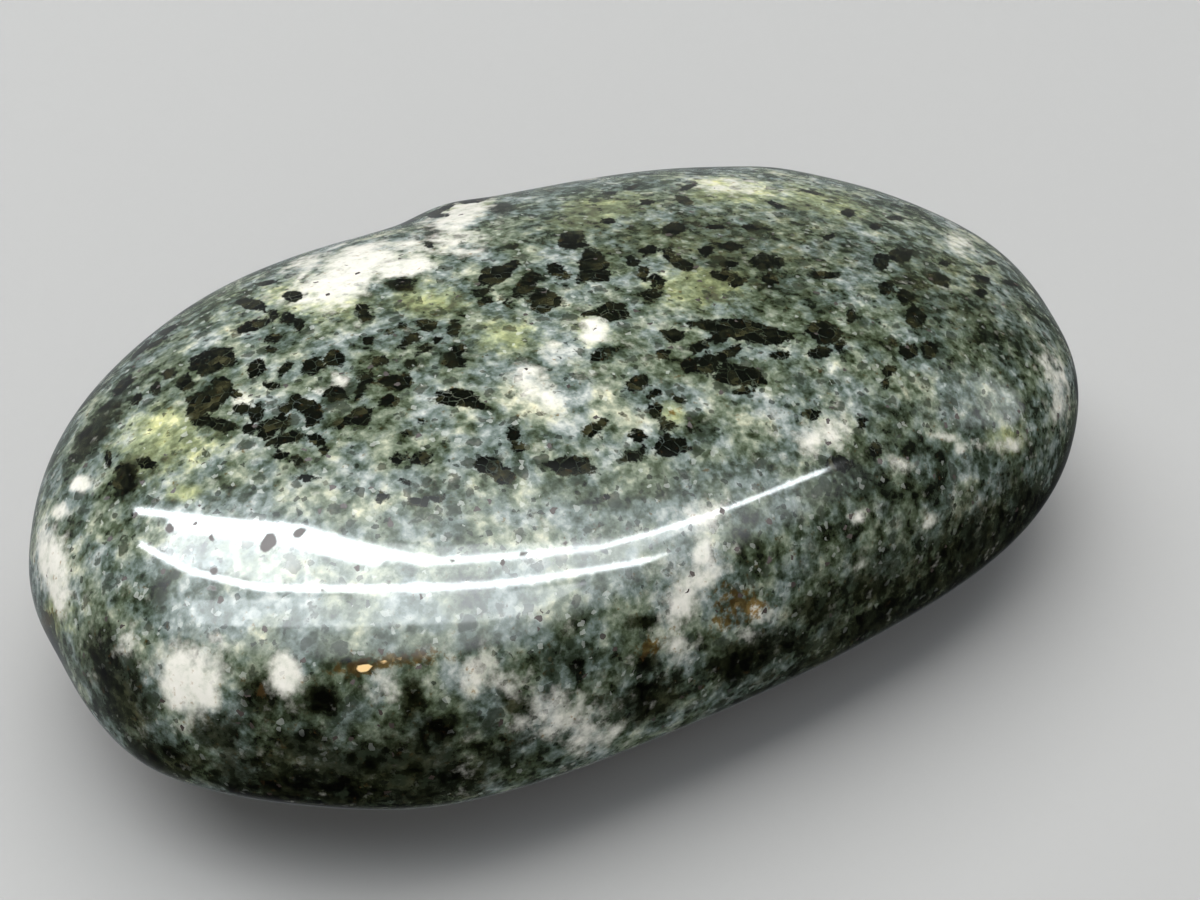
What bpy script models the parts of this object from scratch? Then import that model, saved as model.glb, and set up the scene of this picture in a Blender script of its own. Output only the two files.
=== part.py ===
# Preseli bluestone, a tumbled stone
#
# One flat pebble of spotted dolerite, worn round and polished in a tumbling barrel. It is a single
# piece. Its white, olive and black spots are mineral grains in the rock and stand no higher than
# the rest of the skin. The length runs along X and the thickness along Z. The stone lies on its
# belly, which is worn to a small flat spot, and the origin is on the surface that it rests on,
# under the middle of the stone.

import math

import bmesh
import bpy
from mathutils import Vector

# Finished size in metres
LENGTH = 0.0600
WIDTH = 0.0379
THICKNESS = 0.0177

# The oval that the pebble is worn from, in shares of its half-length
HALF_LENGTH = 1.0
HALF_WIDTH = 0.606
HALF_DEPTH = 0.285
CROWN = 0.335
BELLY = 0.232
REST_DEPTH = 0.97 * BELLY

# How square each curve is: 2 gives an ellipse, and more gives fuller corners
OUTLINE_POWER = 2.09
SIDE_POWER = 2.36

# The crown is highest towards -X and -Y
CROWN_FALL_X = 0.105
CROWN_FALL_Y = 0.084

# Lobes that make the outline out of round: how many, how far out, and the bearing of one of them
LOBES = (
    (2, 0.010, math.radians(90)),
    (3, 0.011, math.radians(-28)),
    (4, 0.025, math.radians(39)),
    (6, 0.010, math.radians(27)),
)

# Low swells and hollows that the tumbling left in the sides: middle, spread and height, in the
# same shares. The first is the dip in the far edge, between two low rises.
SWELLS = (
    (Vector((-0.11, 0.53, 0.20)), 0.11, -0.011),
    (Vector((0.02, 0.49, 0.24)), 0.07, 0.009),
    (Vector((-0.43, 0.46, 0.21)), 0.14, 0.004),
    (Vector((0.66, 0.31, 0.21)), 0.08, 0.005),
    (Vector((0.88, -0.05, 0.17)), 0.11, 0.005),
    (Vector((0.88, -0.28, 0.12)), 0.10, -0.006),
    (Vector((-0.59, -0.50, -0.10)), 0.14, 0.004),
    (Vector((-0.78, -0.40, -0.07)), 0.10, -0.004),
    (Vector((-0.92, -0.22, -0.05)), 0.09, 0.007),
    (Vector((-0.94, 0.00, -0.06)), 0.10, -0.007),
    (Vector((-0.93, 0.13, 0.02)), 0.08, 0.005),
)

# Spaces between the facets: each side of the starting cube is cut into this many
SEGMENTS = 24

# Polished dark green rock
ROCK_COLOUR = (0.075, 0.090, 0.078, 1.0)
ROCK_ROUGHNESS = 0.12


def clear_scene():
    """Remove every object of the scene that the script starts in."""
    for old in list(bpy.data.objects):
        bpy.data.objects.remove(old, do_unlink=True)


def outline_reach(bearing):
    """Distance from the middle to the girth of the plain oval, with its lobes, at a bearing."""
    along = abs(math.cos(bearing)) / HALF_LENGTH
    across = abs(math.sin(bearing)) / HALF_WIDTH
    plain = (along ** OUTLINE_POWER + across ** OUTLINE_POWER) ** (-1 / OUTLINE_POWER)
    lobes = sum(reach * math.cos(count * (bearing - turn)) for count, reach, turn in LOBES)
    return plain * (1 + lobes)


def worn_point(direction):
    """Point of the plain pebble's skin for a direction of the unit ball."""
    bearing = math.atan2(direction.y * HALF_WIDTH, direction.x * HALF_LENGTH)
    lift = math.asin(max(-1.0, min(1.0, direction.z)))
    level = outline_reach(bearing) * math.cos(lift) ** (2 / SIDE_POWER)
    x = level * math.cos(bearing)
    y = level * math.sin(bearing)
    z = abs(math.sin(lift)) ** (2 / SIDE_POWER)
    if lift > 0:
        z *= CROWN * (1 - CROWN_FALL_X * x - CROWN_FALL_Y * y / HALF_WIDTH)
    else:
        z *= -BELLY
    return Vector((x, y, z))


def swollen(point):
    """The point moved out or in by the swells and hollows that it lies in."""
    outward = Vector((point.x, point.y / HALF_WIDTH ** 2, point.z / HALF_DEPTH ** 2)).normalized()
    rise = sum(
        height * math.exp(-((point - middle).length / spread) ** 2)
        for middle, spread, height in SWELLS
    )
    return point + outward * rise


def cut_rest(stone):
    """Wear the belly flat and close the cut with one face."""
    everything = stone.verts[:] + stone.edges[:] + stone.faces[:]
    cut = bmesh.ops.bisect_plane(
        stone,
        geom=everything,
        plane_co=(0, 0, -REST_DEPTH),
        plane_no=(0, 0, -1),
        clear_outer=True,
    )
    rim = [piece for piece in cut["geom_cut"] if isinstance(piece, bmesh.types.BMEdge)]
    bmesh.ops.contextual_create(stone, geom=rim)


def bring_to_size(stone):
    """Scale the shape to its finished size, with the origin under its middle."""
    lows = Vector(min(vert.co[axis] for vert in stone.verts) for axis in range(3))
    highs = Vector(max(vert.co[axis] for vert in stone.verts) for axis in range(3))
    middle = Vector(((lows.x + highs.x) / 2, (lows.y + highs.y) / 2, lows.z))
    spans = highs - lows
    scale = Vector((LENGTH / spans.x, WIDTH / spans.y, THICKNESS / spans.z))
    bmesh.ops.translate(stone, verts=stone.verts[:], vec=-middle)
    bmesh.ops.scale(stone, verts=stone.verts[:], vec=scale)


def make_material():
    """Polished rock."""
    rock = bpy.data.materials.new("polished_bluestone")
    rock.use_nodes = True
    shader = rock.node_tree.nodes["Principled BSDF"]
    shader.inputs["Base Color"].default_value = ROCK_COLOUR
    shader.inputs["Roughness"].default_value = ROCK_ROUGHNESS
    shader.inputs["Metallic"].default_value = 0.0
    rock.diffuse_color = ROCK_COLOUR
    return rock


def make_stone(collection):
    """The whole pebble, worn from a ball of even facets."""
    stone = bmesh.new()
    bmesh.ops.create_cube(stone, size=2.0)
    bmesh.ops.subdivide_edges(stone, edges=stone.edges[:], cuts=SEGMENTS - 1, use_grid_fill=True)
    for vert in stone.verts:
        vert.co = swollen(worn_point(vert.co.normalized()))
    cut_rest(stone)
    bring_to_size(stone)
    bmesh.ops.recalc_face_normals(stone, faces=stone.faces[:])

    mesh = bpy.data.meshes.new("stone")
    stone.to_mesh(mesh)
    stone.free()
    mesh.shade_smooth()
    mesh.materials.append(make_material())
    piece = bpy.data.objects.new("stone", mesh)
    collection.objects.link(piece)
    return piece


clear_scene()
bluestone = bpy.data.collections.new("preseli_bluestone_tumbled_stone")
bpy.context.scene.collection.children.link(bluestone)
make_stone(bluestone)
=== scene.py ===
import math
import random

import bmesh
import bpy
import numpy as np
from mathutils import Matrix, Vector, noise
from mathutils.bvhtree import BVHTree


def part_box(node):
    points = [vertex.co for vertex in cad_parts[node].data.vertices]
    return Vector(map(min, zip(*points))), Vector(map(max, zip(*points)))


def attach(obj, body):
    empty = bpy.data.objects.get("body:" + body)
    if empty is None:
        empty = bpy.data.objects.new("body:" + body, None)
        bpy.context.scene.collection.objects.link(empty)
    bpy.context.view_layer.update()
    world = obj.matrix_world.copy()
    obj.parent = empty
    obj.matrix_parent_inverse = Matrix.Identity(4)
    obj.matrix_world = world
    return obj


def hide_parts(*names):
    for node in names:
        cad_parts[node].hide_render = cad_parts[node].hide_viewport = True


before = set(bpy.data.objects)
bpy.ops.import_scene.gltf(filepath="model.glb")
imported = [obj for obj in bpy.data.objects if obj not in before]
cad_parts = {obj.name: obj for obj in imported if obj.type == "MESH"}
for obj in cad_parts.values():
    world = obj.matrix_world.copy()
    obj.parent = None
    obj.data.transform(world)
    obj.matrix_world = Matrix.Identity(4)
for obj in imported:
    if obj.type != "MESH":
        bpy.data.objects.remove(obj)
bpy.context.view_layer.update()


# The view
# The camera looks down on the stone from beyond its near end, about 10 cm away. It comes first, because
# the grains that the photograph shows are placed on the skin along the camera's lines of sight.
VIEW_BEARING = math.radians(-38.7)
VIEW_HEIGHT = math.radians(36.4)
VIEW_ROLL = math.radians(3.6)
VIEW_DISTANCE = 0.0964
VIEW_AIM = Vector((-0.00074, -0.00218, 0.0080))
VIEW_WIDTH = math.radians(36.0)
VIEW_NEAREST = 0.01
VIEW_FARTHEST = 20.0
PHOTO_WIDE = 1200
PHOTO_TALL = 900
POINT_AT_STONE = VIEW_DISTANCE * 2 * math.tan(VIEW_WIDTH / 2) / PHOTO_WIDE

towards_camera = Vector((
    math.sin(VIEW_BEARING) * math.cos(VIEW_HEIGHT),
    -math.cos(VIEW_BEARING) * math.cos(VIEW_HEIGHT),
    math.sin(VIEW_HEIGHT),
))
camera_data = bpy.data.cameras.new("photo_view")
camera_data.sensor_fit = "HORIZONTAL"
camera_data.angle = VIEW_WIDTH
camera_data.clip_start = VIEW_NEAREST
camera_data.clip_end = VIEW_FARTHEST
camera = bpy.data.objects.new("photo_view", camera_data)
bpy.context.scene.collection.objects.link(camera)
turned = towards_camera.to_track_quat("Z", "Y").to_matrix().to_4x4() @ Matrix.Rotation(VIEW_ROLL, 4, "Z")
camera.matrix_world = Matrix.Translation(VIEW_AIM + towards_camera * VIEW_DISTANCE) @ turned
bpy.context.scene.camera = camera


def line_of_sight(across, down):
    """Start and direction of the camera's line of sight through a point of the photograph."""
    reach = PHOTO_WIDE / 2 / math.tan(VIEW_WIDTH / 2)
    local = Vector((across - PHOTO_WIDE / 2, PHOTO_TALL / 2 - down, -reach))
    return camera.matrix_world.translation, (camera.matrix_world.to_3x3() @ local).normalized()


# The stone
# One pebble of spotted dolerite, an igneous rock of dark crystals in a pale green ground. Weeks in a
# tumbling barrel wore it oval and polished it, so every grain is cut off flush with the skin. Its shape
# is in shares of its half-length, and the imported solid's box gives it its finished size.
HALF_WIDTH = 0.606
HALF_DEPTH = 0.285
CROWN = 0.335
BELLY = 0.232
REST_DEPTH = 0.97 * BELLY

# How square each curve is: 2 gives an ellipse, and more gives fuller corners
OUTLINE_POWER = 2.09
SIDE_POWER = 2.36

# The crown is highest towards -X and -Y
CROWN_FALL_X = 0.105
CROWN_FALL_Y = 0.084

# Lobes that make the outline out of round: how many, how far out, and the bearing of one of them
LOBES = (
    (2, 0.010, math.radians(90)),
    (3, 0.011, math.radians(-28)),
    (4, 0.025, math.radians(39)),
    (6, 0.010, math.radians(27)),
)

# Low swells and hollows that the tumbling left in the sides: middle, spread and height
SWELLS = (
    (Vector((-0.11, 0.53, 0.20)), 0.11, -0.011),
    (Vector((0.02, 0.49, 0.24)), 0.07, 0.009),
    (Vector((-0.43, 0.46, 0.21)), 0.14, 0.004),
    (Vector((0.66, 0.31, 0.21)), 0.08, 0.005),
    (Vector((0.88, -0.05, 0.17)), 0.11, 0.005),
    (Vector((0.88, -0.28, 0.12)), 0.10, -0.006),
    (Vector((-0.59, -0.50, -0.10)), 0.14, 0.004),
    (Vector((-0.78, -0.40, -0.07)), 0.10, -0.004),
    (Vector((-0.92, -0.22, -0.05)), 0.09, 0.007),
    (Vector((-0.94, 0.00, -0.06)), 0.10, -0.007),
    (Vector((-0.93, 0.13, 0.02)), 0.08, 0.005),
)

# Each side of the starting cube is cut into this many, which keeps the polished skin free of facets
SEGMENTS = 128

# Faint waves of the polished skin, which fade out in the lowest millimetre above the flat spot
MM = 0.001
WAVE_LENGTH = 5.5 * MM
WAVE_HEIGHT = 0.016 * MM
WAVE_FADE = 1.0 * MM


def worn_point(direction):
    """Point of the plain pebble's skin for a direction of the unit ball."""
    bearing = math.atan2(direction.y * HALF_WIDTH, direction.x)
    lift = math.asin(max(-1.0, min(1.0, direction.z)))
    along = abs(math.cos(bearing))
    across = abs(math.sin(bearing)) / HALF_WIDTH
    reach = (along ** OUTLINE_POWER + across ** OUTLINE_POWER) ** (-1 / OUTLINE_POWER)
    reach *= 1 + sum(out * math.cos(count * (bearing - turn)) for count, out, turn in LOBES)
    level = reach * math.cos(lift) ** (2 / SIDE_POWER)
    x = level * math.cos(bearing)
    y = level * math.sin(bearing)
    z = abs(math.sin(lift)) ** (2 / SIDE_POWER)
    if lift > 0:
        z *= CROWN * (1 - CROWN_FALL_X * x - CROWN_FALL_Y * y / HALF_WIDTH)
    else:
        z *= -BELLY
    return Vector((x, y, z))


def skin_point(direction):
    """The worn point, moved by the swells of the sides and stopped at the flat of the belly."""
    point = worn_point(direction)
    outward = Vector((point.x, point.y / HALF_WIDTH ** 2, point.z / HALF_DEPTH ** 2)).normalized()
    rise = sum(high * math.exp(-((point - middle).length / wide) ** 2) for middle, wide, high in SWELLS)
    point += outward * rise
    point.z = max(point.z, -REST_DEPTH)
    return point


def bring_to_size(skin, low, high):
    """Fit the skin to a box, given by its lowest and its highest corner."""
    lows = Vector(min(vert.co[axis] for vert in skin.verts) for axis in range(3))
    highs = Vector(max(vert.co[axis] for vert in skin.verts) for axis in range(3))
    spans = highs - lows
    scale = Vector((high - low)[axis] / spans[axis] for axis in range(3))
    bmesh.ops.translate(skin, verts=skin.verts[:], vec=-lows)
    bmesh.ops.scale(skin, verts=skin.verts[:], vec=scale)
    bmesh.ops.translate(skin, verts=skin.verts[:], vec=low)


skin = bmesh.new()
bmesh.ops.create_cube(skin, size=2.0)
bmesh.ops.subdivide_edges(skin, edges=skin.edges[:], cuts=SEGMENTS - 1, use_grid_fill=True)
for vert in skin.verts:
    vert.co = skin_point(vert.co.normalized())
bring_to_size(skin, *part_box("stone"))
bmesh.ops.recalc_face_normals(skin, faces=skin.faces[:])
skin.normal_update()
for vert in skin.verts:
    wave = noise.noise(vert.co / WAVE_LENGTH) * WAVE_HEIGHT
    vert.co += vert.normal * wave * min(1.0, vert.co.z / WAVE_FADE)
bring_to_size(skin, *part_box("stone"))
stone_mesh = bpy.data.meshes.new("polished_stone")
skin.to_mesh(stone_mesh)
stone_mesh.shade_smooth()
skin_tree = BVHTree.FromBMesh(skin)
skin.free()
stone = bpy.data.objects.new("polished_stone", stone_mesh)
bpy.context.scene.collection.objects.link(stone)

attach(stone, "root")
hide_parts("stone")


# The grains of the stone
# Dark pyroxene crystals, white feldspar, olive epidote and deep green chlorite, all cut off flush. Those
# that the photograph shows are read: the middle across and down, the width and the height in its
# points, and the turn in degrees. The hidden sides get grains of like sizes at random.
NEAR_END_CRYSTALS = (
    (213, 359, 44, 20, -8), (209, 401, 42, 18, -30), (185, 383, 15, 15, 0), (223, 385, 20, 14, 0),
    (257, 368, 20, 15, -50), (285, 369, 17, 8, -50), (313, 366, 24, 14, -20), (242, 409, 17, 10, -15),
    (257, 413, 18, 12, -55), (287, 408, 14, 10, 0), (274, 424, 32, 14, -15), (307, 406, 24, 14, 0),
    (286, 439, 34, 10, -15), (317, 440, 18, 11, 20), (281, 456, 15, 8, 0), (298, 461, 12, 11, 0),
    (223, 425, 28, 12, 10), (206, 420, 14, 10, 0), (123, 385, 22, 13, -45), (156, 388, 9, 12, 0),
    (156, 343, 26, 8, -30), (123, 471, 14, 13, 0), (146, 463, 19, 9, 20), (108, 459, 7, 15, 0),
    (335, 394, 20, 14, 0), (309, 420, 8, 11, 0), (272, 386, 14, 8, 10), (272, 350, 14, 6, 10),
    (334, 358, 19, 17, 10), (168, 374, 12, 7, 0), (137, 399, 14, 8, -50), (140, 350, 22, 12, -45),
    (168, 330, 16, 11, -30), (315, 417, 15, 15, 0), (199, 420, 14, 13, 0), (324, 450, 8, 11, 0),
    (359, 417, 25, 15, -20), (359, 394, 10, 9, 0), (306, 478, 18, 6, 0), (121, 484, 24, 8, 0),
    (296, 401, 16, 12, 20), (266, 434, 18, 11, 0), (249, 429, 14, 10, 0), (406, 433, 12, 6, 0),
    (421, 421, 9, 6, 0), (340, 425, 12, 9, 0), (195, 366, 12, 8, -20), (236, 394, 12, 8, 0),
)
FAR_LEFT_CRYSTALS = (
    (251, 304, 26, 12, 10), (266, 283, 20, 8, -10), (253, 326, 32, 11, -15), (273, 338, 17, 9, -10),
    (293, 296, 18, 13, 0), (273, 315, 9, 14, 0), (288, 318, 14, 11, 0), (299, 325, 11, 12, 0),
    (362, 308, 16, 8, 0), (366, 318, 14, 8, 0), (368, 341, 10, 7, 0), (391, 331, 8, 6, 20),
    (404, 325, 9, 8, 0), (427, 325, 19, 11, 15), (412, 338, 15, 11, 0), (405, 346, 14, 6, 0),
    (425, 348, 15, 8, -10), (437, 339, 12, 6, -20), (379, 361, 18, 9, 0), (409, 364, 9, 11, 0),
    (366, 379, 15, 12, 0), (396, 382, 34, 15, 0), (390, 401, 19, 12, 0), (404, 281, 20, 8, 0),
    (429, 245, 8, 12, 0),
)
MIDDLE_CRYSTALS = (
    (455, 329, 11, 19, 0), (460, 348, 10, 9, 0), (454, 360, 22, 16, 15), (457, 398, 43, 17, 5),
    (484, 276, 10, 16, 30), (481, 292, 18, 8, -10), (518, 262, 9, 6, 0), (517, 293, 12, 8, 0),
    (530, 288, 11, 10, 0), (508, 303, 9, 9, 0), (541, 307, 20, 12, 0), (555, 267, 13, 12, 0),
    (561, 276, 15, 8, 20), (581, 280, 14, 12, 0), (582, 242, 10, 16, -30), (567, 236, 14, 10, 0),
    (598, 262, 12, 30, -30), (604, 277, 13, 9, 0), (613, 311, 24, 19, 0), (588, 314, 12, 7, -10),
    (598, 356, 15, 13, 0), (611, 351, 12, 9, 0), (397, 459, 11, 12, 0), (421, 458, 22, 12, 0),
    (405, 483, 12, 5, 20), (383, 497, 11, 10, 0), (418, 502, 20, 8, 0), (436, 498, 15, 7, 0),
    (513, 435, 12, 15, 10), (519, 447, 14, 9, 0), (488, 466, 26, 18, 25), (502, 475, 24, 16, 25),
    (572, 466, 38, 17, 5), (592, 429, 18, 11, 0), (605, 422, 8, 8, 0), (602, 498, 13, 6, -10),
    (499, 274, 30, 18, -20), (545, 300, 28, 16, 0), (570, 241, 24, 20, 0), (594, 262, 22, 28, -30),
    (526, 286, 18, 13, 0), (532, 277, 18, 12, 0), (557, 270, 18, 14, 0), (486, 300, 16, 8, -20),
)
FAR_SIDE_CRYSTALS = (
    (633, 187, 14, 9, -20), (610, 193, 15, 7, 0), (688, 187, 16, 9, -20), (683, 200, 18, 12, 20),
    (646, 202, 12, 9, 0), (608, 221, 15, 8, 0), (675, 228, 21, 14, -10), (716, 227, 29, 6, 0),
    (753, 227, 20, 9, 0), (776, 205, 14, 8, 20), (811, 192, 20, 7, 15), (848, 213, 13, 11, 0),
    (829, 237, 12, 6, -20), (648, 250, 17, 9, -10), (633, 261, 14, 10, 20), (643, 273, 12, 18, -20),
    (656, 279, 21, 10, 15), (670, 251, 11, 9, 0), (680, 263, 30, 11, 25), (706, 251, 13, 12, 0),
    (731, 246, 28, 8, 5), (729, 264, 18, 8, 0), (724, 276, 29, 11, 10), (738, 283, 18, 8, -15),
    (762, 261, 21, 15, 0), (779, 263, 11, 12, 0), (771, 279, 14, 13, 0), (824, 275, 30, 8, 0),
    (650, 294, 18, 12, 20), (852, 316, 9, 13, -30),
)
RIGHT_CRYSTALS = (
    (744, 331, 90, 19, 11), (674, 335, 19, 14, 15), (698, 348, 20, 10, -10), (718, 339, 15, 9, 0),
    (729, 353, 24, 11, -30), (690, 366, 16, 16, 0), (709, 364, 18, 20, 0), (737, 375, 42, 20, 0),
    (744, 391, 17, 8, 0), (779, 355, 18, 9, 0), (826, 332, 32, 18, 10), (819, 353, 20, 10, 0),
    (842, 343, 9, 17, 0), (636, 383, 22, 13, -20), (655, 393, 14, 9, -20), (663, 354, 12, 9, 0),
    (656, 409, 14, 13, 0), (678, 399, 22, 6, 20), (666, 424, 18, 9, 20), (693, 429, 14, 6, 20),
    (638, 436, 18, 11, 15), (644, 449, 8, 12, 0), (671, 446, 28, 17, -10), (630, 457, 18, 11, 0),
    (812, 414, 17, 9, 5),
)
FAR_END_CRYSTALS = (
    (895, 218, 15, 10, 0), (876, 226, 12, 12, 0), (911, 207, 15, 8, 20), (901, 254, 21, 19, 0),
    (881, 261, 14, 19, 0), (886, 288, 14, 14, 0), (905, 296, 18, 14, 20), (939, 279, 22, 13, 20),
    (915, 318, 19, 20, 0), (982, 279, 18, 11, 20), (981, 293, 12, 8, 0), (992, 263, 11, 8, 0),
    (1011, 283, 14, 8, 20), (944, 263, 12, 7, 0), (909, 351, 17, 15, 15), (929, 350, 16, 18, 0),
    (895, 342, 12, 6, 20), (889, 370, 14, 11, 0), (886, 383, 9, 10, 0), (875, 449, 11, 14, 0),
    (863, 423, 9, 13, 0), (840, 464, 24, 14, 0),
)
PITS = (
    (268, 543, 12, 22, 40), (299, 533, 14, 8, -30), (214, 571, 9, 9, 0), (170, 528, 10, 9, 0),
    (212, 588, 14, 5, 5), (323, 591, 5, 6, 0), (388, 582, 6, 5, 0), (523, 554, 8, 6, -30),
    (564, 543, 8, 6, 0), (575, 549, 6, 5, 0), (588, 541, 5, 4, 0), (603, 540, 7, 5, 20),
    (628, 529, 6, 4, 0), (452, 561, 6, 4, 10),
)
# Flecks of brassy pyrite, their colour lightened to a painted glint
BRASS_AND_GLINT_FLECKS = ((364, 668, 14, 7, -10), (384, 662, 7, 3, -10), (399, 659, 6, 3, -12))

WHITE_PATCHES = (
    (332, 286, 70, 42, -15), (358, 262, 84, 44, -20), (404, 266, 60, 22, -8), (462, 213, 64, 32, -24),
    (593, 330, 28, 32, 0), (188, 681, 72, 78, 0), (285, 677, 38, 42, 0), (703, 556, 24, 30, 25),
    (50, 566, 30, 90, -12), (79, 484, 20, 20, 0),
)
MILKY_PATCHES = (
    (533, 382, 54, 42, 30), (545, 402, 36, 26, 0), (556, 352, 34, 26, 0), (590, 738, 70, 50, -20),
    (553, 715, 70, 50, -10), (760, 612, 30, 26, 0), (750, 636, 28, 24, 0), (1006, 445, 38, 18, 0),
    (482, 676, 74, 44, 0), (382, 688, 34, 46, 0), (822, 434, 66, 38, -10), (678, 600, 50, 80, 15),
    (682, 650, 34, 36, 0), (735, 185, 100, 24, 3), (240, 400, 26, 20, 0), (945, 437, 52, 12, 8),
    (960, 447, 14, 18, 0), (906, 467, 38, 20, 30), (929, 522, 16, 26, 30), (856, 517, 14, 14, 0),
    (1058, 384, 26, 90, -10), (457, 243, 74, 32, 0), (404, 249, 60, 28, -10), (310, 262, 80, 22, -20),
    (440, 213, 60, 16, -30), (126, 645, 20, 30, 20), (60, 512, 24, 20, 0), (700, 520, 60, 40, -15),
    (700, 574, 56, 74, 25), (310, 250, 90, 22, -24), (318, 392, 18, 12, 0), (340, 380, 26, 20, 0),
    (958, 243, 40, 24, 20),
)
PALE_PATCHES = (
    (820, 434, 90, 44, -5), (1006, 452, 84, 84, 0), (903, 468, 64, 24, 0), (928, 523, 30, 28, 0),
    (852, 514, 36, 22, 0), (722, 456, 26, 40, 20), (958, 243, 50, 40, 20), (505, 333, 80, 34, 10),
    (770, 172, 90, 20, 3), (478, 690, 80, 70, 0), (532, 690, 60, 60, 0), (640, 520, 160, 90, -10),
    (232, 390, 130, 76, 0), (330, 340, 70, 50, 0), (700, 345, 50, 40, 0), (350, 560, 300, 70, 0),
    (870, 400, 150, 110, 0), (820, 362, 150, 50, 5), (560, 400, 240, 130, 0), (300, 492, 280, 60, 5),
    (158, 440, 130, 80, -10), (770, 390, 180, 110, 0), (470, 440, 160, 80, 0), (330, 235, 90, 40, -20),
    (95, 560, 70, 120, 0), (735, 190, 110, 36, 3),
)
OLIVE_PATCHES = (
    (160, 440, 120, 84, -10), (735, 190, 130, 44, 5), (470, 205, 80, 30, -15), (505, 335, 80, 40, 0),
    (593, 330, 44, 40, 0), (675, 412, 34, 24, 20), (700, 285, 130, 50, 0), (185, 493, 44, 24, 0),
    (600, 210, 120, 40, -10), (820, 200, 120, 40, 10), (430, 300, 90, 40, 0), (1005, 440, 50, 34, 0),
    (330, 300, 90, 50, 0), (58, 615, 40, 50, 0),
)
MOSSY_PATCHES = ((720, 240, 330, 120, 0), (950, 270, 160, 120, 30), (260, 300, 160, 60, -25))
# Deep green patches of chlorite. The long ones along the bottom of the near side and round the far end
# are painted shade, darkening the lower sides where less light falls
DEEP_GREEN_AND_SHADE_PATCHES = (
    (350, 786, 430, 100, -2), (259, 696, 50, 56, 0), (323, 701, 50, 38, 0), (412, 702, 30, 56, 0),
    (435, 731, 64, 38, 10), (518, 705, 38, 30, 0), (641, 622, 40, 18, -10), (118, 690, 56, 150, -27),
    (300, 745, 90, 40, 0), (215, 735, 60, 40, 10), (650, 700, 90, 50, -25), (575, 664, 26, 18, 0),
    (860, 650, 470, 116, -28), (990, 560, 170, 90, -42), (760, 650, 120, 40, -20), (735, 668, 60, 40, 0),
    (870, 590, 70, 40, -20), (648, 664, 30, 22, 0), (1040, 505, 40, 70, -30), (820, 610, 60, 40, -20),
    (95, 430, 26, 100, 38), (128, 478, 20, 40, 10), (432, 233, 18, 30, -10),
    (501, 208, 30, 18, 0), (401, 286, 32, 14, 10), (160, 760, 100, 40, 30),
)
# Painted shade: wide patches that darken the lower near side, the far side and the far end
PAINTED_SHADE_PATCHES = (
    (760, 245, 460, 130, 5), (1000, 320, 170, 150, 30), (270, 746, 380, 120, 6),
    (540, 716, 340, 110, -12), (760, 655, 280, 110, -28), (950, 290, 190, 150, 25),
    (110, 700, 70, 120, -25), (870, 600, 280, 90, -28),
)
RUST_PATCHES = (
    (405, 659, 100, 15, -8), (358, 668, 60, 18, -8), (742, 604, 50, 34, 10), (675, 412, 14, 9, 20),
    (262, 690, 10, 16, 0), (45, 624, 16, 28, 10), (650, 648, 24, 20, 0), (722, 622, 20, 24, 0),
)

# What is seen at a slant is drawn out along the skin, but by no more than these times its plain size
CRYSTAL_STRETCH = 1.9
PATCH_STRETCH = 3.5

# The straight sides of a grain: how few and how many, how far each turns out of true, in shares of the
# turn from one side to the next, and how near and how far out it lies
CRYSTAL_SIDES = (5, 7)
SIDE_TURN = 0.3
SIDE_REACH = (0.94, 1.18)

# How far from its edge a grain's field is kept, and how steeply a patch fades out
EDGE_REACH = 0.6 * MM
PATCH_FALL = 1.25

# The skin is hidden where it faces the camera by less than this share. The grains there are drawn with
# these widths, in millimetres for a crystal and in shares of the widest for a patch, and with these
# depths, in shares of their own width. A cluster's crystals spread by so many millimetres.
GRAIN_SEED = 21
HIDDEN_FACING = 0.05
HIDDEN_CLUSTERS = 60
CLUSTER_CRYSTALS = (3, 9)
CLUSTER_SPREAD = 1.5
HIDDEN_CRYSTAL_WIDTH = (0.6, 2.3)
HIDDEN_CRYSTAL_DEPTH = (0.45, 0.9)
HIDDEN_PATCHES = 9
HIDDEN_PATCH_WIDTH = (0.35, 1.0)
HIDDEN_PATCH_DEPTH = (0.5, 1.0)

grain_draw = random.Random(GRAIN_SEED)
skin_count = len(stone_mesh.vertices)
skin_places = np.empty(skin_count * 3)
stone_mesh.vertices.foreach_get("co", skin_places)
skin_places = skin_places.reshape(-1, 3)
skin_facings = np.empty(skin_count * 3)
stone_mesh.vertex_normals.foreach_get("vector", skin_facings)
skin_facings = skin_facings.reshape(-1, 3)


def read_mark(across, down, wide, tall, turn, steepest=CRYSTAL_STRETCH):
    """Middle of a grain on the skin and its two half-widths there, from its place in the photograph."""
    start, sight = line_of_sight(across, down)
    middle, facing, _, _ = skin_tree.ray_cast(start, sight)
    if middle is None:
        middle, facing, _, _ = skin_tree.find_nearest(start + sight * VIEW_DISTANCE)
    turn = math.radians(turn)
    halves = []
    for size, right, below in (
        (wide / 2, math.cos(turn), math.sin(turn)),
        (tall / 2, -math.sin(turn), math.cos(turn)),
    ):
        start, sight = line_of_sight(across + right * size, down + below * size)
        reach = (middle - start).dot(facing) / sight.dot(facing)
        half = start + sight * reach - middle
        longest = size * POINT_AT_STONE * steepest
        if half.length > longest:
            half *= longest / half.length
        halves.append(half)
    return middle, facing, halves


def random_mark(middle, facing, wide, tall):
    """A grain of a given size on the skin near a point, turned at random."""
    turn = grain_draw.uniform(0, math.tau)
    side = facing.orthogonal().normalized()
    other = facing.cross(side)
    first = side * math.cos(turn) + other * math.sin(turn)
    second = facing.cross(first)
    return middle, facing, [first * wide / 2, second * tall / 2]


def seen_from_mark(mark):
    """Every point of the skin, measured in the half-widths of a grain from its middle."""
    middle, facing, halves = mark
    depth = max(half.length for half in halves)
    frame_of_mark = np.array([halves[0], halves[1], facing * depth]).T
    return (skin_places - np.array(middle)) @ np.linalg.inv(frame_of_mark).T


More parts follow.
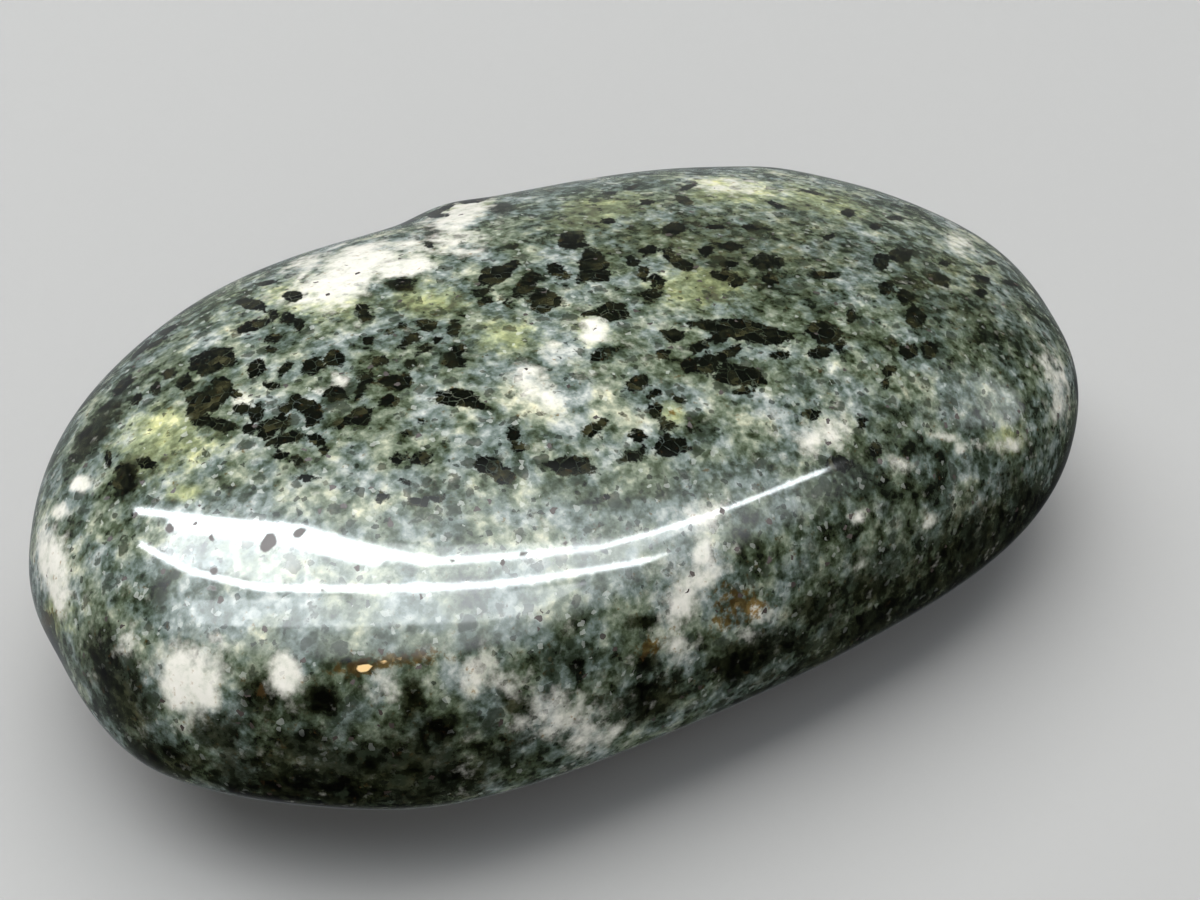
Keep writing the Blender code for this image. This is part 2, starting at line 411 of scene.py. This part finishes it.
def add_crystal(field, mark):
    """Raise the field inside a grain with straight sides: metres inside its edge."""
    local = seen_from_mark(mark)
    sides = grain_draw.randint(*CRYSTAL_SIDES)
    beyond = np.abs(local[:, 2])
    for side in range(sides):
        bearing = math.tau * (side + grain_draw.uniform(-SIDE_TURN, SIDE_TURN)) / sides
        out = grain_draw.uniform(*SIDE_REACH)
        distance = local[:, 0] * math.cos(bearing) + local[:, 1] * math.sin(bearing)
        beyond = np.maximum(beyond, distance / out)
    size = math.sqrt(mark[2][0].length * mark[2][1].length)
    np.maximum(field, (1 - beyond) * size, out=field)


def add_patch(field, mark, strength):
    """Raise the field round a patch with no sharp edge, to its strength in the middle."""
    local = seen_from_mark(mark)
    np.maximum(field, strength * np.exp(-((local ** 2).sum(axis=1) ** PATCH_FALL)), out=field)


def hidden_place():
    """A random point of the skin that the photograph doesn't show."""
    while True:
        index = grain_draw.randrange(skin_count)
        place = Vector(skin_places[index])
        facing = Vector(skin_facings[index])
        if (camera.matrix_world.translation - place).normalized().dot(facing) < HIDDEN_FACING:
            return place, facing


def grains_read(*groups):
    """A field that starts far outside every grain and is raised inside those of the groups."""
    field = np.full(skin_count, -1.0)
    for group in groups:
        for reading in group:
            add_crystal(field, read_mark(*reading))
    return field


def edges_in_mm(field):
    """A field of grains near their edges alone, in millimetres."""
    return np.clip(field, -EDGE_REACH, EDGE_REACH) / MM


crystal_field = grains_read(
    NEAR_END_CRYSTALS, FAR_LEFT_CRYSTALS, MIDDLE_CRYSTALS,
    FAR_SIDE_CRYSTALS, RIGHT_CRYSTALS, FAR_END_CRYSTALS,
)
for _ in range(HIDDEN_CLUSTERS):
    cluster_middle = hidden_place()[0]
    for _ in range(grain_draw.randint(*CLUSTER_CRYSTALS)):
        spread = Vector([grain_draw.gauss(0, 1) for _ in range(3)]) * CLUSTER_SPREAD * MM
        middle, facing, _, _ = skin_tree.find_nearest(cluster_middle + spread)
        wide = grain_draw.uniform(*HIDDEN_CRYSTAL_WIDTH) * MM
        mark = random_mark(middle, facing, wide, wide * grain_draw.uniform(*HIDDEN_CRYSTAL_DEPTH))
        add_crystal(crystal_field, mark)
pit_field = grains_read(PITS)
brass_and_glint_field = grains_read(BRASS_AND_GLINT_FLECKS)

# Each kind of patch: its readings, its strength, and the widest of its hidden ones in millimetres
patch_fields = {kind: np.zeros(skin_count) for kind in ("white", "pale", "olive", "deep_and_shade", "rust")}
for kind, readings, strength, widest in (
    ("white", WHITE_PATCHES, 1.0, 4.5),
    ("white", MILKY_PATCHES, 0.56, 4.5),
    ("pale", PALE_PATCHES, 1.0, 7.0),
    ("olive", OLIVE_PATCHES, 1.0, 7.0),
    ("olive", MOSSY_PATCHES, 0.5, 7.0),
    # The deep green kind holds the painted shade too
    ("deep_and_shade", DEEP_GREEN_AND_SHADE_PATCHES, 1.0, 11.0),
    ("deep_and_shade", PAINTED_SHADE_PATCHES, 0.45, 11.0),
    ("rust", RUST_PATCHES, 1.0, 1.5),
):
    for reading in readings:
        add_patch(patch_fields[kind], read_mark(*reading, PATCH_STRETCH), strength)
    for _ in range(HIDDEN_PATCHES):
        wide = grain_draw.uniform(*HIDDEN_PATCH_WIDTH) * widest * MM
        middle, facing = hidden_place()
        mark = random_mark(middle, facing, wide, wide * grain_draw.uniform(*HIDDEN_PATCH_DEPTH))
        add_patch(patch_fields[kind], mark, strength)

for name, field in (
    ("crystal", edges_in_mm(crystal_field)),
    ("pit", edges_in_mm(pit_field)),
    ("white", patch_fields["white"]),
    ("pale", patch_fields["pale"]),
    ("rust", patch_fields["rust"]),
    ("brass_and_glint", edges_in_mm(brass_and_glint_field)),
    ("olive", patch_fields["olive"]),
    ("deep_and_shade", patch_fields["deep_and_shade"]),
):
    attribute = stone_mesh.attributes.new(name, "FLOAT", "POINT")
    attribute.data.foreach_set("value", field.astype(np.float32))


# The polished rock
# Between the crystals lies a felt of pale feldspar and green chlorite, stained by rust in places. The
# polish is glassy, with small pits left in it, and the harder grains stand out from it by about a
# thousandth of a millimetre. A tone of 0 is the ground's darkest colour and 1 its lightest.
TONE_MIDDLE = 0.487
GROUND_TONES = (
    (0.00, (0.006, 0.008, 0.005)),
    (0.16, (0.025, 0.034, 0.020)),
    (0.32, (0.069, 0.093, 0.067)),
    (0.46, (0.135, 0.172, 0.148)),
    (0.62, (0.240, 0.284, 0.258)),
    (0.80, (0.420, 0.455, 0.420)),
    (1.00, (0.680, 0.690, 0.620)),
)
CRYSTAL_TONES = (
    (0.00, (0.003, 0.004, 0.003)),
    (0.46, (0.004, 0.005, 0.003)),
    (0.60, (0.011, 0.013, 0.007)),
    (0.76, (0.034, 0.034, 0.016)),
    (1.00, (0.095, 0.095, 0.052)),
)
WHITE_TONES = (
    (0.26, (0.500, 0.530, 0.450)),
    (0.40, (0.680, 0.695, 0.610)),
    (0.55, (0.820, 0.815, 0.740)),
    (0.75, (0.880, 0.865, 0.800)),
)
# How far the deep green patches and the painted shade darken the ground
DEEP_AND_SHADE_TONES = (
    (0.00, (1.000, 1.000, 1.000)),
    (1.00, (0.190, 0.178, 0.128)),
)
COOL_TINT = (0.96, 0.99, 1.03, 1)
WARM_TINT = (1.05, 1.03, 0.84, 1)
OLIVE_TINT = (1.20, 1.19, 0.74, 1)
OLIVE_ROCK = (0.60, 0.62, 0.40, 1)
OLIVE_VEIL = 0.15
RUST_TINT = (0.62, 0.42, 0.18, 1)
RUST_BROWN = (0.09, 0.053, 0.020, 1)
RUST_VEIL = 0.40
SPOT_GREEN = (0.020, 0.028, 0.016, 1)
SPOT_VEIL = 0.80
# Painted glint: tiny white specks that stand in for light glinting off feldspar
PAINTED_GLINT = (0.74, 0.78, 0.74, 1)
PAINTED_GLINT_VEIL = 0.35
TINY_CRYSTAL_VEIL = 0.7
# Brassy pyrite with a painted glint: lighter than the mineral's own colour
BRASS_AND_GLINT = (1.0, 0.70, 0.34, 1)
PIT_BROWN = (0.022, 0.012, 0.008, 1)

# How far a crystal's tone lies under the felt's, and how far each grain's own draw lifts a tone
CRYSTAL_TONE_DROP = 0.20
CRYSTAL_TONE_DRAW = 0.42
WHITE_TONE_DRAW = 0.12

# How many clouds or grains of each kind fit on a millimetre
CLOUDS_PER_MM = 0.33
WARM_CLOUDS_PER_MM = 0.5
STIR_PER_MM = 0.8
SOFT_EDGES_PER_MM = 1.0
SPOTS_PER_MM = 1.05
BLOTS_PER_MM = 1.15
ROUGH_EDGES_PER_MM = 1.3
FELT_PER_MM = 1.40
GRAINS_PER_MM = 1.7
SMALL_BLOTS_PER_MM = 2.3
RELIEF_PER_MM = 2.4
RUST_EDGES_PER_MM = 3.0
CRYSTAL_EDGES_PER_MM = 3.2
FRAY_PER_MM = 4.0
FINE_GRAINS_PER_MM = 4.5

# How far the ground is stirred and its outlines frayed, in millimetres
STIR_REACH = 0.7
FRAY_REACH = 0.16

# How strongly a cloud frays the edge of each kind
OLIVE_FRAY = 1.8
DEEP_AND_SHADE_FRAY = 1.5
WHITE_FRAY = 1.7
RUST_FRAY = 3.0
CRYSTAL_FRAY = 0.75
CRACK_FRAY = 0.22

# What the reach of a soft spot starts from, and how far the felt and the spot's own draw widen it
SPOT_REACH_START = -0.98
SPOT_REACH_FELT = 2.2
SPOT_REACH_DRAW = 0.30

# How dark a crystal stays in its cracks, and how much rarer tiny crystals are in the white
CRACK_DARKNESS = 0.72
WHITE_FREE_OF_TINY = 0.8

# The values between which each kind goes from nothing to full
BLOT_EDGE = (0.43, 0.57)
SMALL_BLOT_EDGE = (0.42, 0.58)
WARM_EDGE = (0.40, 0.60)
OLIVE_EDGE = (0.25, 1.05)
DEEP_AND_SHADE_EDGE = (0.20, 0.85)
WHITE_EDGE = (0.16, 0.84)
RUST_EDGE = (0.30, 0.90)
SPOT_EDGE = (-0.10, 0.12)
CRYSTAL_EDGE = (-0.075, 0.045)
CRYSTAL_HALO = (-0.45, 0.05)
CRACK_EDGE = (-0.01, 0.02)
BRASS_AND_GLINT_EDGE = (-0.03, 0.03)
PIT_EDGE = (-0.03, 0.06)

# The draws past which a cell of the ground is a spot, a painted glint, a tiny crystal or a tiny pit
SPOT_CHANCE = (0.50, 0.52)
PAINTED_GLINT_CHANCE = (0.975, 0.980)
TINY_CRYSTAL_CHANCE = (0.965, 0.975)
TINY_PIT_CHANCE = (0.9945, 0.9950)

# The polish
ROUGHNESS_LEAST = 0.03
ROUGHNESS_SWING = 0.09
PIT_ROUGHNESS = 0.5
POLISH_IOR = 1.43
RELIEF_HEIGHT = 0.0012 * MM

rock = bpy.data.materials.new("polished_bluestone")
rock.use_nodes = True
rock_nodes = rock.node_tree.nodes
rock_shader = rock_nodes["Principled BSDF"]


def feed(socket, value):
    """Link an output to a socket, or set the socket to a plain value."""
    if isinstance(value, bpy.types.NodeSocket):
        socket.id_data.links.new(value, socket)
    else:
        socket.default_value = value


def node_beside(kind, *values):
    """A new node in the tree of the first value that is another node's output."""
    tree = next(value.id_data for value in values if isinstance(value, bpy.types.NodeSocket))
    return tree.nodes.new(kind)


def maths(operation, *values, kind="ShaderNodeMath"):
    """The result of a sum on up to three values."""
    node = node_beside(kind, *values)
    node.operation = operation
    for socket, value in zip(node.inputs, values):
        feed(socket, value)
    return node.outputs[0]


def place_maths(operation, *values):
    """The result of a sum on up to three places."""
    return maths(operation, *values, kind="ShaderNodeVectorMath")


def step(value, low, high):
    """0 below low, 1 above high, and a smooth rise between them."""
    node = node_beside("ShaderNodeMapRange", value)
    node.interpolation_type = "SMOOTHSTEP"
    feed(node.inputs["Value"], value)
    node.inputs["From Min"].default_value = low
    node.inputs["From Max"].default_value = high
    return node.outputs["Result"]


def swayed(base, value, share):
    """The base, pushed up and down by a share of how far a value from 0 to 1 lies from its middle."""
    return maths("MULTIPLY_ADD", maths("SUBTRACT", value, 0.5), share, base)


def cloud(place, per_mm, detail, roughness=0.5, output="Fac"):
    """Smooth noise from 0 to 1, or as a colour."""
    node = node_beside("ShaderNodeTexNoise", place)
    feed(node.inputs["Vector"], place)
    node.inputs["Scale"].default_value = per_mm
    node.inputs["Detail"].default_value = detail
    node.inputs["Roughness"].default_value = roughness
    return node.outputs[output]


def moved(place, per_mm, reach):
    """A place moved by a cloud's colour, so that what is drawn there gets ragged outlines."""
    push = place_maths("SUBTRACT", cloud(place, per_mm, 2.0, output="Color"), (0.5, 0.5, 0.5))
    return place_maths("MULTIPLY_ADD", push, (reach, reach, reach), place)


def cells(place, per_mm, output="Color", feature="F1"):
    """Cells like packed grains, each with a random colour of its own."""
    node = node_beside("ShaderNodeTexVoronoi", place)
    node.feature = feature
    feed(node.inputs["Vector"], place)
    node.inputs["Scale"].default_value = per_mm
    return node.outputs[output]


def draw_of(cell_colour, index):
    """One of the three random draws that a cell's colour holds."""
    node = node_beside("ShaderNodeSeparateColor", cell_colour)
    feed(node.inputs[0], cell_colour)
    return node.outputs[index]


def mixed(share, first, second, way="MIX"):
    """The first colour with a share of the second over it."""
    node = node_beside("ShaderNodeMix", share, first, second)
    node.data_type = "RGBA"
    node.blend_type = way
    feed(node.inputs[0], share)
    feed(node.inputs[6], first)
    feed(node.inputs[7], second)
    return node.outputs[2]


def tinted(colour, tint):
    """A colour seen through a tint."""
    return mixed(1.0, colour, tint, "MULTIPLY")


def tones(value, stops):
    """The colour that stands at a value between the stops."""
    node = node_beside("ShaderNodeValToRGB", value)
    ramp = node.color_ramp
    while len(ramp.elements) < len(stops):
        ramp.elements.new(0.5)
    for element, (place, colour) in zip(ramp.elements, stops):
        element.position = place
        element.color = (*colour, 1)
    feed(node.inputs["Fac"], value)
    return node.outputs["Color"]


def field_of(name):
    """A field of grains or patches, as the skin's points carry it."""
    node = rock_nodes.new("ShaderNodeAttribute")
    node.attribute_name = name
    return node.outputs["Fac"]


place_node = rock_nodes.new("ShaderNodeTexCoord")
scale_node = rock_nodes.new("ShaderNodeMapping")
scale_node.inputs["Scale"].default_value = (1 / MM, 1 / MM, 1 / MM)
feed(scale_node.inputs["Vector"], place_node.outputs["Object"])
in_mm = scale_node.outputs["Vector"]
stirred = moved(in_mm, STIR_PER_MM, STIR_REACH)
frayed = moved(in_mm, FRAY_PER_MM, FRAY_REACH)

clouds = cloud(stirred, CLOUDS_PER_MM, 4.0, 0.6)
felt = cloud(in_mm, FELT_PER_MM, 4.0, 0.61)
blots = step(cloud(frayed, BLOTS_PER_MM, 2.0), *BLOT_EDGE)
small_blots = step(cloud(frayed, SMALL_BLOTS_PER_MM, 1.0), *SMALL_BLOT_EDGE)
grains = cells(frayed, GRAINS_PER_MM)
fine_grains = cells(frayed, FINE_GRAINS_PER_MM)
spots = cells(frayed, SPOTS_PER_MM)

# The ground's tone: a middle, swayed by each layer of grain and pushed by the fields
tone = TONE_MIDDLE
for value, share in (
    (clouds, 1.3),
    (felt, 1.30),
    (blots, 0.13),
    (small_blots, 0.085),
    (draw_of(grains, 0), 0.10),
    (draw_of(fine_grains, 0), 0.08),
):
    tone = swayed(tone, value, share)
for value, share in (
    (step(field_of("crystal"), *CRYSTAL_HALO), -0.05),
    (field_of("white"), 0.26),
    (field_of("pale"), 0.11),
    # The deep green field, with its painted shade, pulls the tone down
    (field_of("deep_and_shade"), -0.26),
):
    tone = maths("MULTIPLY_ADD", value, share, tone)
ground = tones(tone, GROUND_TONES)
warm_share = step(cloud(stirred, WARM_CLOUDS_PER_MM, 3.0, 0.55), *WARM_EDGE)
ground = mixed(warm_share, tinted(ground, COOL_TINT), tinted(ground, WARM_TINT))

# Olive patches, and deep green patches that also carry painted shade, with ragged edges
rough_cloud = cloud(in_mm, ROUGH_EDGES_PER_MM, 4.0, 0.7)
olive_share = step(swayed(field_of("olive"), rough_cloud, OLIVE_FRAY), *OLIVE_EDGE)
ground = mixed(olive_share, ground, mixed(OLIVE_VEIL, tinted(ground, OLIVE_TINT), OLIVE_ROCK))
deep_and_shade_share = step(swayed(field_of("deep_and_shade"), rough_cloud, DEEP_AND_SHADE_FRAY), *DEEP_AND_SHADE_EDGE)
ground = tinted(ground, tones(deep_and_shade_share, DEEP_AND_SHADE_TONES))

# Soft green spots in about half of the cells, and tiny white specks painted as glints on feldspar, kept
# out of the deep green patches and their painted shade
spot_reach = maths("MULTIPLY_ADD", felt, SPOT_REACH_FELT, SPOT_REACH_START)
spot_reach = maths("MULTIPLY_ADD", draw_of(spots, 1), SPOT_REACH_DRAW, spot_reach)
spot_share = step(maths("SUBTRACT", spot_reach, spots.node.outputs["Distance"]), *SPOT_EDGE)
spot_share = maths("MULTIPLY", spot_share, step(draw_of(spots, 0), *SPOT_CHANCE))
ground = mixed(maths("MULTIPLY", spot_share, SPOT_VEIL), ground, SPOT_GREEN)
painted_glint_share = maths("MULTIPLY", step(draw_of(fine_grains, 1), *PAINTED_GLINT_CHANCE), PAINTED_GLINT_VEIL)
painted_glint_share = maths("MULTIPLY", painted_glint_share, maths("SUBTRACT", 1.0, field_of("deep_and_shade")))
ground = mixed(painted_glint_share, ground, PAINTED_GLINT)

# White patches, whose edges fade into the felt
soft_cloud = cloud(in_mm, SOFT_EDGES_PER_MM, 4.0, 0.6)
white_share = step(swayed(field_of("white"), soft_cloud, WHITE_FRAY), *WHITE_EDGE)
white_tone = maths("MULTIPLY_ADD", draw_of(fine_grains, 1), WHITE_TONE_DRAW, felt)
white_rock = tones(white_tone, WHITE_TONES)
ground = mixed(white_share, ground, white_rock)

# Black crystals with thin pale cracks, and tiny ones that are rarer in the white
edge_cloud = cloud(in_mm, CRYSTAL_EDGES_PER_MM, 4.0, 0.7)
crystal_share = step(swayed(field_of("crystal"), edge_cloud, CRYSTAL_FRAY), *CRYSTAL_EDGE)
to_grain_edge = cells(frayed, GRAINS_PER_MM, "Distance", "DISTANCE_TO_EDGE")
off_crack = step(swayed(to_grain_edge, felt, CRACK_FRAY), *CRACK_EDGE)
crystal_share = maths("MULTIPLY", crystal_share, maths("MAXIMUM", off_crack, CRACK_DARKNESS))
crystal_tone = maths("SUBTRACT", felt, CRYSTAL_TONE_DROP)
crystal_tone = maths("MULTIPLY_ADD", draw_of(grains, 2), CRYSTAL_TONE_DRAW, crystal_tone)
crystal_colour = tones(crystal_tone, CRYSTAL_TONES)
room_for_tiny = maths("SUBTRACT", 1.0, maths("MULTIPLY", white_share, WHITE_FREE_OF_TINY))
tiny_share = step(draw_of(fine_grains, 2), *TINY_CRYSTAL_CHANCE)
tiny_share = maths("MULTIPLY", maths("MULTIPLY", tiny_share, room_for_tiny), TINY_CRYSTAL_VEIL)
dark_share = maths("MAXIMUM", crystal_share, tiny_share)
rock_colour = mixed(dark_share, ground, crystal_colour)

# Rust that stains the grains without hiding them, flecks of brassy pyrite lightened with a painted
# glint, and pits
rust_cloud = cloud(in_mm, RUST_EDGES_PER_MM, 3.0, 0.6)
rust_share = step(swayed(field_of("rust"), rust_cloud, RUST_FRAY), *RUST_EDGE)
rusty = mixed(RUST_VEIL, tinted(rock_colour, RUST_TINT), RUST_BROWN)
rock_colour = mixed(rust_share, rock_colour, rusty)
rock_colour = mixed(step(field_of("brass_and_glint"), *BRASS_AND_GLINT_EDGE), rock_colour, BRASS_AND_GLINT)
tiny_pits = step(draw_of(fine_grains, 2), *TINY_PIT_CHANCE)
pit_share = maths("MAXIMUM", step(field_of("pit"), *PIT_EDGE), tiny_pits)
rock_colour = mixed(pit_share, rock_colour, PIT_BROWN)
feed(rock_shader.inputs["Base Color"], rock_colour)

roughness = maths("MULTIPLY_ADD", felt, ROUGHNESS_SWING, ROUGHNESS_LEAST)
feed(rock_shader.inputs["Roughness"], maths("MULTIPLY_ADD", pit_share, PIT_ROUGHNESS, roughness))
rock_shader.inputs["IOR"].default_value = POLISH_IOR
relief = rock_nodes.new("ShaderNodeBump")
relief.inputs["Strength"].default_value = 1.0
relief.inputs["Distance"].default_value = RELIEF_HEIGHT
feed(relief.inputs["Height"], cloud(in_mm, RELIEF_PER_MM, 2.0, 0.6))
feed(rock_shader.inputs["Normal"], relief.outputs["Normal"])
stone_mesh.materials.append(rock)


# The floor
# A plain pale sheet under the stone, wide enough to fill the view, and not part of the stone. The polish
# doesn't mirror it, so the stone's lower sides stay dark.
FLOOR_SIZE = 6.0
FLOOR_GREY = (0.32, 0.32, 0.315, 1)
FLOOR_ROUGHNESS = 0.9

floor_shape = bmesh.new()
bmesh.ops.create_grid(floor_shape, x_segments=1, y_segments=1, size=FLOOR_SIZE / 2)
floor_mesh = bpy.data.meshes.new("pale_floor")
floor_shape.to_mesh(floor_mesh)
floor_shape.free()
floor = bpy.data.objects.new("pale_floor", floor_mesh)
bpy.context.scene.collection.objects.link(floor)
floor_paint = bpy.data.materials.new("pale_floor")
floor_paint.use_nodes = True
floor_shader = floor_paint.node_tree.nodes["Principled BSDF"]
floor_shader.inputs["Base Color"].default_value = FLOOR_GREY
floor_shader.inputs["Roughness"].default_value = FLOOR_ROUGHNESS
floor_mesh.materials.append(floor_paint)
floor.visible_glossy = False


# The mirrored lamps
# A ceiling fitting a metre above the stone, with two long tubes and a diffuser, under a dim ceiling. The
# polish mirrors it as a pale band with two bright lines. Each lamp runs through the points of the
# photograph, across and down, where the skin mirrors it, and gives nothing but the reflections.
LAMP_HEIGHT = 1.0
LOW_GLOW_HEIGHT = LAMP_HEIGHT + 0.05
CEILING_HEIGHT = LAMP_HEIGHT + 0.1
COOL_WHITE = (0.90, 0.96, 1.0)
TUBE_WIDTH = 0.055
NEAR_TUBE_WIDTH = 1.2 * TUBE_WIDTH
WIDE_END_WIDTH = 1.5 * TUBE_WIDTH
TUBE_GLOW = 34.0
DIFFUSER_WIDTH = 0.34
DIFFUSER_GLOW = 8.5
BRIGHT_DIFFUSER_GLOW = 1.7 * DIFFUSER_GLOW
FAR_TUBE = (
    (134, 510), (200, 519), (300, 528), (370, 549), (430, 560), (520, 555), (600, 548), (700, 519),
    (770, 492), (826, 470),
)
WIDE_END = ((168, 523), (220, 530), (300, 540), (385, 560))
NEAR_TUBE = (
    (140, 542), (190, 570), (260, 587), (340, 588), (420, 587), (490, 585), (550, 577), (610, 567),
    (660, 558),
)
BRIGHT_DIFFUSER = ((168, 537), (210, 547), (300, 562))
DIFFUSER = ((300, 562), (400, 572), (500, 570), (580, 562), (650, 548))
LOW_GLOW = ((190, 612), (260, 614), (340, 612), (420, 611), (490, 608), (560, 600))
FAR_GLOW = ((890, 398), (1020, 420))
FAR_GLOW_WIDTH = 1.1
FAR_GLOW_STRENGTH = 2.2
CEILING_SIZE = (4.4, 2.2)
CEILING_MIDDLE = Vector((-0.35, -0.45))
CEILING_BEARING = math.radians(-54)
CEILING_GLOW = 4.6
AVERAGING_REACH = 1.0 * MM

# A softened lamp glows fully in its middle half and fades to nothing at its edges
EDGE_OF_LAMP = 0.5
FULL_GLOW = 0.25


def ceiling_point(across, down, height):
    """Point at the height of a lamp that the skin mirrors at a point of the photograph."""
    start, sight = line_of_sight(across, down)
    place = skin_tree.ray_cast(start, sight)[0]
    near = skin_tree.find_nearest_range(place, AVERAGING_REACH)
    facing = sum((found[1] for found in near), Vector()).normalized()
    mirrored = sight - 2 * sight.dot(facing) * facing
    return place + mirrored * (height - place.z) / mirrored.z


def add_lamp(name, start, end, width, glow, height):
    """A flat lamp facing down, along the line between two points at its height."""
    start = Vector(start[:2])
    end = Vector(end[:2])
    data = bpy.data.lights.new(name, "AREA")
    data.shape = "RECTANGLE"
    data.size = (end - start).length
    data.size_y = width
    data.energy = glow * math.pi * data.size * data.size_y
    data.color = COOL_WHITE
    lamp = bpy.data.objects.new(name, data)
    bpy.context.scene.collection.objects.link(lamp)
    lamp.location = (*((start + end) / 2), height)
    lamp.rotation_euler.z = math.atan2(end.y - start.y, end.x - start.x)
    return lamp


def along_axes(place):
    """The parts of a place or a direction along each axis."""
    node = node_beside("ShaderNodeSeparateXYZ", place)
    feed(node.inputs[0], place)
    return node.outputs


def soften_edges(lamp):
    """Let a lamp's glow fade towards its four edges."""
    lamp.data.use_nodes = True
    lamp_nodes = lamp.data.node_tree.nodes
    place = along_axes(lamp_nodes.new("ShaderNodeNewGeometry").outputs["Parametric"])
    fades = []
    for axis in range(2):
        off_middle = maths("ABSOLUTE", maths("SUBTRACT", place[axis], 0.5))
        fades.append(step(off_middle, EDGE_OF_LAMP, FULL_GLOW))
    feed(lamp_nodes["Emission"].inputs["Strength"], maths("MULTIPLY", *fades))


for name, path, width, glow, height in (
    ("far_tube", FAR_TUBE, TUBE_WIDTH, TUBE_GLOW, LAMP_HEIGHT),
    ("wide_end", WIDE_END, WIDE_END_WIDTH, TUBE_GLOW, LAMP_HEIGHT),
    ("near_tube", NEAR_TUBE, NEAR_TUBE_WIDTH, TUBE_GLOW, LAMP_HEIGHT),
    ("bright_diffuser", BRIGHT_DIFFUSER, DIFFUSER_WIDTH, BRIGHT_DIFFUSER_GLOW, LAMP_HEIGHT),
    ("diffuser", DIFFUSER, DIFFUSER_WIDTH, DIFFUSER_GLOW, LAMP_HEIGHT),
    ("low_glow", LOW_GLOW, DIFFUSER_WIDTH, DIFFUSER_GLOW, LOW_GLOW_HEIGHT),
):
    corners = [ceiling_point(*reading, height) for reading in path]
    for start, end in zip(corners, corners[1:]):
        add_lamp(name, start, end, width, glow, height).visible_diffuse = False

far_start, far_end = (ceiling_point(*reading, LOW_GLOW_HEIGHT) for reading in FAR_GLOW)
far_glow = add_lamp("far_glow", far_start, far_end, FAR_GLOW_WIDTH, FAR_GLOW_STRENGTH, LOW_GLOW_HEIGHT)
ceiling_run = Vector((math.cos(CEILING_BEARING), math.sin(CEILING_BEARING))) * CEILING_SIZE[0] / 2
ceiling_start = CEILING_MIDDLE - ceiling_run
ceiling_end = CEILING_MIDDLE + ceiling_run
ceiling = add_lamp("ceiling", ceiling_start, ceiling_end, CEILING_SIZE[1], CEILING_GLOW, CEILING_HEIGHT)
for dim_lamp in (far_glow, ceiling):
    dim_lamp.visible_diffuse = False
    soften_edges(dim_lamp)


# The soft lamps
# A wide key lamp high above the stone, towards its far side, and a smaller fill low in front of it and
# turned to it. They light its colours, and the polish doesn't mirror them.
WARM_WHITE = (1.0, 0.99, 0.98)
KEY_ENDS = ((-1.1, 0.5), (0.9, 0.5))
KEY_WIDTH = 1.6
KEY_HEIGHT = 1.3
KEY_GLOW = 4.0
FILL_ENDS = ((-1.0, -0.9), (-0.2, -0.9))
FILL_WIDTH = 0.8
FILL_HEIGHT = 0.6
FILL_GLOW = 2.4
FILL_AIM = Vector((0, 0, 0.01))

key = add_lamp("soft_key", *KEY_ENDS, KEY_WIDTH, KEY_GLOW, KEY_HEIGHT)
fill = add_lamp("front_fill", *FILL_ENDS, FILL_WIDTH, FILL_GLOW, FILL_HEIGHT)
fill.rotation_euler = (fill.location - FILL_AIM).to_track_quat("Z", "Y").to_euler()
for soft_lamp in (key, fill):
    soft_lamp.visible_glossy = False
    soft_lamp.data.color = WARM_WHITE


# The room
# It is nearly dark round the stone, but for a grey light low down on the far side, which the stone's far
# edge mirrors.
ROOM_WHITE = (0.9, 0.95, 1.0, 1)
ROOM_DARK_GLOW = 0.015
ROOM_FAR_GLOW = 0.22
FAR_SIDE = (0.0, 0.9)
LOW_DOWN = (0.5, 0.0)

room = bpy.data.worlds.new("soft_room")
room.use_nodes = True
room_nodes = room.node_tree.nodes
direction = along_axes(room_nodes.new("ShaderNodeTexCoord").outputs["Generated"])
far_low_share = maths("MULTIPLY", step(direction["Y"], *FAR_SIDE), step(direction["Z"], *LOW_DOWN))
room_glow = maths("MULTIPLY_ADD", far_low_share, ROOM_FAR_GLOW - ROOM_DARK_GLOW, ROOM_DARK_GLOW)
room_nodes["Background"].inputs["Color"].default_value = ROOM_WHITE
feed(room_nodes["Background"].inputs["Strength"], room_glow)
bpy.context.scene.world = room
bpy.context.scene.view_settings.view_transform = "Standard"
